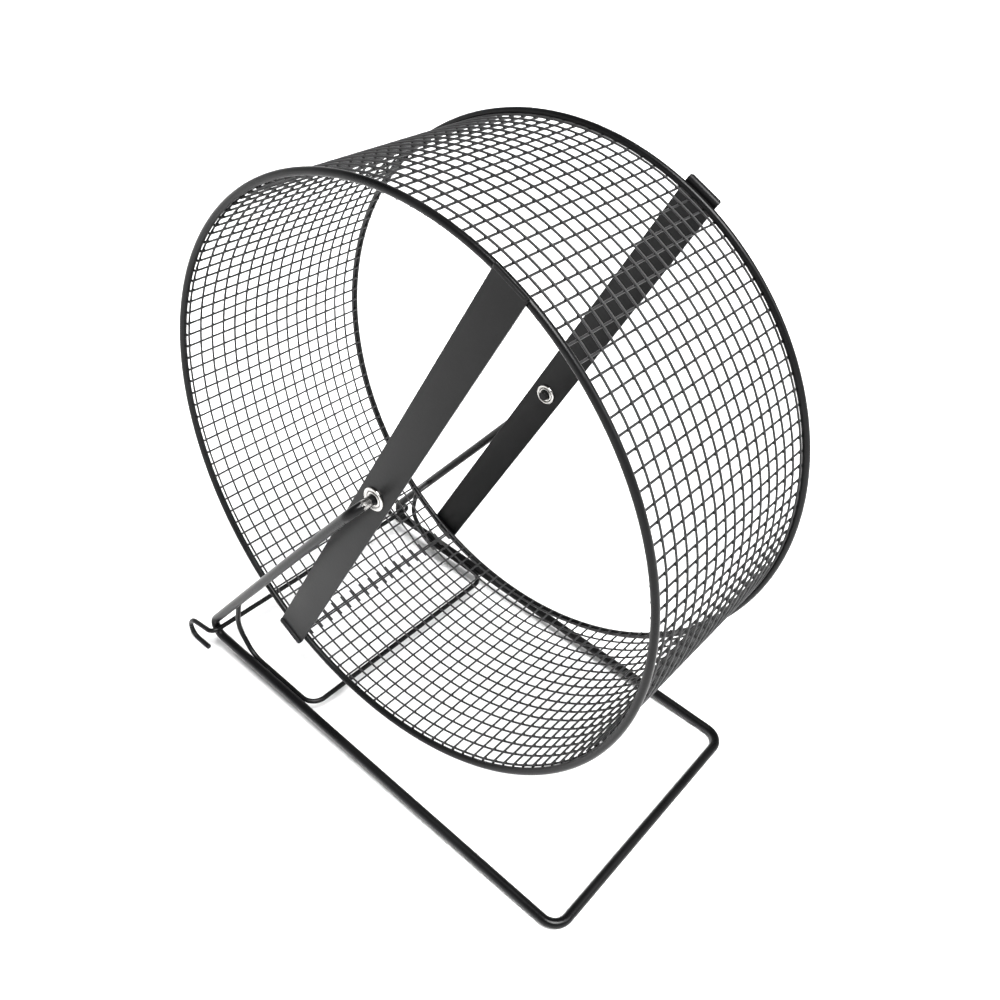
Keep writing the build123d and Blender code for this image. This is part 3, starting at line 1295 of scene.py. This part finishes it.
@dataclass
class Stand:
    """The bent wire stand: one main wire, a welded brace and a cross wire that ends in hooks."""

    bar: Crossbar
    main_wire: float = 3.5 * MM
    flange: float = 0.8 * MM
    drum_clearance: float = 11.55 * MM
    arm_clearance: float = 3.41 * MM
    rear_reach: float = 83.7 * MM
    front_reach: float = 100.9 * MM
    elbow_bend: float = 5.0 * MM
    rear_bend: float = 5.0 * MM
    front_bend: float = 6.0 * MM
    tip_beyond_eyelet: float = 1.5 * MM
    brace_wire: float = 2.0 * MM
    brace_leaves_arm: float = 30.5 * MM
    brace_arm_run: float = 11.0 * MM
    brace_leg: float = 14.9 * MM
    brace_leg_slope: float = math.radians(6.7)
    brace_joins_base: float = 25.7 * MM
    brace_base_run: float = 35.8 * MM
    brace_arm_bend: float = 18.0 * MM
    brace_knee_bend: float = 11.0 * MM
    brace_cross_bend: float = 6.0 * MM
    hook_wire: float = 2.0 * MM
    hook_side_gap: float = 1.2 * MM
    hook_turn_bend: float = 3.0 * MM
    hook_slope: float = math.radians(12.0)
    hook_leg: float = 11.7 * MM
    hook_bend: float = 4.7 * MM
    hook_tip_leg: float = 7.0 * MM
    axle_tip_round: float = 0.5 * MM
    thin_tip_round: float = 0.25 * MM
    main_sides: int = 28
    main_step: float = 0.8 * MM
    worn_from: float = 46.3 * MM
    worn_to: float = 50.5 * MM
    arm_welds: tuple[float, float] = (0.86, 0.45)
    base_welds: tuple[float, float] = (0.28, 0.62)
    weld_size: Triple = (1.5 * MM, 0.75 * MM, 0.85 * MM)
    nest_weld_size: Triple = (1.5 * MM, 0.9 * MM, 0.8 * MM)
    weld_inset: float = 0.1 * MM
    weld_lump: float = 0.7 * MM
    weld_grain: float = 1.1 * MM
    weld_detail: int = 4

    @property
    def arm_y(self) -> float:
        """Distance of the arms and base sides from the middle plane."""
        return self.bar.outer_y + TOUCH + self.flange + self.arm_clearance + self.elbow_bend

    @property
    def hub_height(self) -> float:
        """Height of the axle above the base wire's centre line."""
        return self.bar.end_radius + self.drum_clearance + self.main_wire / 2

    @property
    def rear(self) -> Vector:
        """The sharp rear corner in the side view."""
        return Vector((-self.rear_reach, 0, -self.hub_height))

    @property
    def front(self) -> Vector:
        """The sharp front corner in the side view."""
        return Vector((self.front_reach, 0, -self.hub_height))

    @property
    def arm_angle(self) -> float:
        """Slope of the arms above the base."""
        return math.atan2(self.hub_height, self.rear_reach)

    @property
    def nest(self) -> Vector:
        """Where the hook wire crosses.

        Returns:
            Its centre in the side view, inside the bend between arm and base.
        """
        inside = self.rear_bend - self.main_wire / 2 - self.hook_wire / 2 - TOUCH
        half = self.arm_angle / 2
        return self.rear + heading(half) * (self.rear_bend / math.sin(half) - inside)

    @property
    def tilt(self) -> float:
        """How far the base leans back when it stands on its front wire and its hooks.

        Returns:
            The angle in radians.
        """
        leg = heading(math.pi + self.hook_slope)
        centre = self.nest + leg * self.hook_leg + Vector((-leg.z, 0, leg.x)) * self.hook_bend
        rise, run = self.front.z - centre.z, self.front.x - centre.x
        lower = self.main_wire / 2 - self.hook_bend - self.hook_wire / 2
        return math.atan2(rise, run) - math.asin(lower / math.hypot(run, rise))

    @staticmethod
    def mirrored(points: list[Vector], y: float) -> list[Vector]:
        """The right side's points, set out to -y where they have no Y, then their mirror images."""
        right = [Vector((p.x, -y if p.y == 0 else p.y, p.z)) for p in points]
        return right + [Vector((p.x, -p.y, p.z)) for p in reversed(right)]

    def main_path(self) -> WirePath:
        """The thick wire that carries the wheel.

        Returns:
            Its path: axle tip, arm, base side, front, base side, arm and axle tip.
        """
        tip_y = self.bar.inner_y - TOUCH - self.flange - self.tip_beyond_eyelet
        right = [Vector((0, -tip_y, 0)), Vector((0, -self.arm_y, 0)), self.rear, self.front]
        bends = [self.elbow_bend, self.rear_bend, self.front_bend]
        return WirePath("bent_main_wire", self.main_wire, self.mirrored(right, self.arm_y), bends + bends[::-1],
                        tip_round=self.axle_tip_round, sides=self.main_sides, run_step=self.main_step,
                        wear_from=self.worn_from, wear_to=self.worn_to)

    def brace_meets(self) -> tuple[Vector, Vector, Vector]:
        """How the brace meets the main wire.

        Returns:
            The arm's direction, and the places where the brace leaves the arm and joins the base.
        """
        along_arm = heading(self.arm_angle)
        leaves = self.rear + along_arm * self.brace_leaves_arm
        return along_arm, leaves, self.rear + Vector((self.brace_joins_base, 0, 0))

    def brace_path(self) -> WirePath:
        """The thinner wire from arm to arm.

        Returns:
            Its path, along both base sides and across under the drum.
        """
        along_arm, leaves, joins = self.brace_meets()
        knee = leaves + heading(-math.pi / 2 - self.brace_leg_slope) * self.brace_leg
        cross = joins + Vector((self.brace_base_run, 0, 0))
        side = self.arm_y - self.main_wire / 2 - TOUCH - self.brace_wire / 2
        corners = self.mirrored([leaves + along_arm * self.brace_arm_run, leaves, knee, joins, cross], side)
        bends = [self.brace_arm_bend, self.brace_knee_bend, self.brace_knee_bend, self.brace_cross_bend]
        return WirePath("bent_brace_wire", self.brace_wire, corners, bends + bends[::-1], tip_round=self.thin_tip_round)

    def hook_path(self) -> WirePath:
        """The thinner wire across the rear.

        Returns:
            Its path through both rear corners, with a hook at each end.
        """
        side = self.arm_y + self.main_wire / 2 + self.hook_side_gap + self.hook_wire / 2
        leg = heading(math.pi + self.hook_slope)
        half = (math.pi - self.hook_slope + self.tilt) / 2
        setback = self.hook_bend * math.tan(half / 2)
        upper = self.nest + leg * (self.hook_leg + setback)
        lower = upper + heading(math.pi + self.hook_slope + half) * (2 * setback)
        tip = lower + heading(self.tilt) * (setback + self.hook_tip_leg)
        bends = [self.hook_bend, self.hook_bend, self.hook_turn_bend]
        corners = self.mirrored([tip, lower, upper, self.nest], side)
        return WirePath("bent_hook_wire", self.hook_wire, corners, bends + bends[::-1], tip_round=self.thin_tip_round)

    def weld_spots(self) -> list[tuple[Vector, Vector, Triple]]:
        """Where thin wires are welded to the main wire.

        Returns:
            For each weld its centre, the wires' direction there and its half sizes along, across and up.
        """
        along_arm, leaves, joins = self.brace_meets()
        forward = Vector((1, 0, 0))
        inward = (self.nest - self.rear).normalized()
        corner = self.nest - inward * (self.hook_wire / 2 + self.weld_inset)
        spots = []
        for side in Side:
            aside = Vector((0, side.value * (self.arm_y - self.main_wire / 2 - self.weld_inset), 0))
            for share in self.arm_welds:
                place = leaves + along_arm * (self.brace_arm_run * share)
                spots.append((place + aside, along_arm, self.weld_size))
            for share in self.base_welds:
                place = joins + forward * (self.brace_base_run * share)
                spots.append((place + aside, forward, self.weld_size))
            outer = corner + Vector((0, side.value * self.arm_y, 0))
            spots.append((outer, Vector((0, 1, 0)), self.nest_weld_size))
        return spots

    def weld_tree(self) -> GeometryTree:
        """The tree that puts a lumpy bead on each weld point.

        Returns:
            The tree; the beads' sizes and turns are attributes of the points.
        """
        tree = GeometryTree("Wire welds")
        lump, grain = tree.numbers("Lump Height", "Lump Size")
        turn, size = (tree.live(tree.add("GeometryNodeInputNamedAttribute", name, data_type="FLOAT_VECTOR").outputs)[0]
                      for name in ("turn", "size"))
        bead = tree.add("GeometryNodeMeshIcoSphere", 1.0, self.weld_detail).outputs[0]
        rotation = tree.add("FunctionNodeEulerToRotation", turn).outputs[0]
        beads = tree.add("GeometryNodeInstanceOnPoints")
        tree.fill(beads, Points=tree.entry.outputs["Geometry"], Instance=bead, Rotation=rotation, Scale=size)
        real = tree.add("GeometryNodeRealizeInstances", beads.outputs[0]).outputs[0]
        height = (tree.noise_at(None, 1.0 / grain, 1.0) - 0.5) * lump
        push = tree.add("ShaderNodeVectorMath", operation="SCALE")
        tree.feed(push.inputs[0], tree.add("GeometryNodeInputNormal").outputs[0])
        tree.fill(push, Scale=height)
        moved = tree.add("GeometryNodeSetPosition", real)
        tree.fill(moved, Offset=push.outputs[0])
        rounded = tree.add("GeometryNodeSetShadeSmooth", moved.outputs[0], None, True).outputs[0]
        tree.close(rounded, tree.material("Material"))
        return tree

    def welds(self, finishes: Finishes) -> Mesh:
        """Builds the beads of all welds.

        Args:
            finishes: the materials.

        Returns:
            One mesh.
        """
        spots = self.weld_spots()
        seed = mesh_from("weld_points", [place for place, _, _ in spots])
        turns, sizes = [], []
        for _, along, size in spots:
            turns += list(along.to_track_quat("X", "Y" if abs(along.y) < 0.5 else "Z").to_euler())
            sizes += list(size)
        seed.attributes.new("turn", "FLOAT_VECTOR", "POINT").data.foreach_set("vector", turns)
        seed.attributes.new("size", "FLOAT_VECTOR", "POINT").data.foreach_set("vector", sizes)
        values = {"Lump Height": self.weld_lump, "Lump Size": self.weld_grain, "Material": finishes.wire}
        return self.weld_tree().grow("wire_welds", values, seed)

    def pieces(self, finishes: Finishes, sweep: GeometryTree) -> list[Piece]:
        """Builds the stand's pieces.

        Args:
            finishes: the materials.
            sweep: the tree that sweeps single wires.

        Returns:
            The three wires and their welds.
        """
        made = []
        paths = {"main_wire": self.main_path(), "brace_wire": self.brace_path(), "hook_wire": self.hook_path()}
        for node, path in paths.items():
            made.append(Piece(path.name, path.build(sweep, finishes.wire), Body.STAND, Slot.WIRE, (node,)))
        made.append(Piece("wire_welds", self.welds(finishes), Body.STAND, Slot.WIRE))
        return made


@dataclass
class Studio:
    """Pale floor, soft light, and the camera at the photograph's angle."""

    floor_radius: float = 3.0
    floor_shade: Triple = (0.90, 0.90, 0.90)
    floor_sides: int = 96
    floor_roughness: float = 0.9
    floor_gloss: float = 0.1
    horizon: float = 1.15
    zenith: float = 0.07
    sky_step: tuple[float, float] = (0.18, 0.62)
    aim: Vector = Vector((0, 0, 0.1))
    sun_power: float = 7.6
    sun_spread: float = math.radians(34)
    sun_from: Vector = Vector((0.30, -0.10, 1.0))
    box_power: float = 3.5
    box_size: float = 0.45
    box_place: Vector = Vector((0.75, 0.25, 0.75))
    camera_place: Vector = Vector((0.174253, -0.213869, 0.321173))
    camera_turn: Quaternion = Quaternion((0.826983, 0.436260, 0.134021, 0.328351))
    focal: float = 999.10
    middle: tuple[float, float] = (474.33, 440.89)
    image: float = 1000.0
    sensor: float = 36.0
    clip: tuple[float, float] = (0.01, 20.0)

    def floor(self) -> None:
        """Lays the floor."""
        count = self.floor_sides
        rim = [heading(2 * math.pi * n / count) * self.floor_radius for n in range(count)]
        mesh = mesh_from("studio_floor", [Vector((p.x, p.z, 0)) for p in rim], [tuple(range(count))])
        tree = ShaderTree("pale_floor")
        tree.fill(tree.surface, Base_Color=(*self.floor_shade, 1), Roughness=self.floor_roughness,
                  Specular_IOR_Level=self.floor_gloss)
        mesh.materials.append(tree.material)
        thing = bpy.data.objects.new("studio_floor", mesh)
        bpy.context.scene.collection.objects.link(thing)

    def light(self) -> None:
        """Sets the sky and the lamps."""
        world = bpy.data.worlds.new("studio_sky")
        world.use_nodes = True
        tree = TreeBuilder(world.node_tree)
        back = next(n for n in world.node_tree.nodes if n.type == "BACKGROUND")
        parts = tree.add("ShaderNodeSeparateXYZ", tree.add("ShaderNodeTexCoord").outputs["Generated"])
        back.inputs["Color"].default_value = (1, 1, 1, 1)
        strength = tree.smooth(parts.outputs["Z"], *self.sky_step, self.horizon, self.zenith)
        tree.fill(back, Strength=strength)
        bpy.context.scene.world = world
        sun = bpy.data.lights.new("overhead_light", "SUN")
        sun.energy, sun.angle = self.sun_power, self.sun_spread
        box = bpy.data.lights.new("soft_box", "AREA")
        box.shape, box.size, box.energy = "DISK", self.box_size, self.box_power
        for lamp, place in ((sun, self.sun_from), (box, self.box_place)):
            thing = bpy.data.objects.new(lamp.name, lamp)
            thing.location = place
            thing.rotation_euler = (self.aim - place).to_track_quat("-Z", "Y").to_euler()
            bpy.context.scene.collection.objects.link(thing)

    def camera(self) -> None:
        """Sets the camera, whose picture is square."""
        lens = bpy.data.cameras.new("photo_camera")
        lens.sensor_width = self.sensor
        lens.lens = self.focal / self.image * self.sensor
        lens.shift_x = (self.image / 2 - self.middle[0]) / self.image
        lens.shift_y = (self.middle[1] - self.image / 2) / self.image
        lens.clip_start, lens.clip_end = self.clip
        thing = bpy.data.objects.new("photo_camera", lens)
        thing.location = self.camera_place
        thing.rotation_mode = "QUATERNION"
        thing.rotation_quaternion = self.camera_turn
        bpy.context.scene.collection.objects.link(thing)
        bpy.context.scene.camera = thing

    def build(self) -> None:
        """Builds the whole studio."""
        self.camera()
        self.floor()
        self.light()
        view = bpy.context.scene.view_settings
        view.view_transform = "Standard"
        view.look = "None"


def main() -> None:
    """Builds the studio and every sub-assembly, and reports each piece."""
    logging.basicConfig(level=logging.INFO, format="%(name)s %(message)s")
    Studio().build()
    finishes = Finishes.build()
    sweep = swept_wire_tree()
    drum = Drum()
    bar = Crossbar(drum)
    eyelet = Eyelet(bar)
    stand = Stand(bar)
    placement = Placement(Vector(frame["joints"][0]["pos_m"]), stand.tilt)
    pieces = drum.mesh_pieces(finishes, sweep) + drum.rim_pieces(finishes)
    for side in Side:
        pieces += [bar.piece(side, finishes), eyelet.piece(side, finishes)]
    pieces += stand.pieces(finishes, sweep)
    for piece in pieces:
        piece.place(placement)


if __name__ == "__main__":
    main()
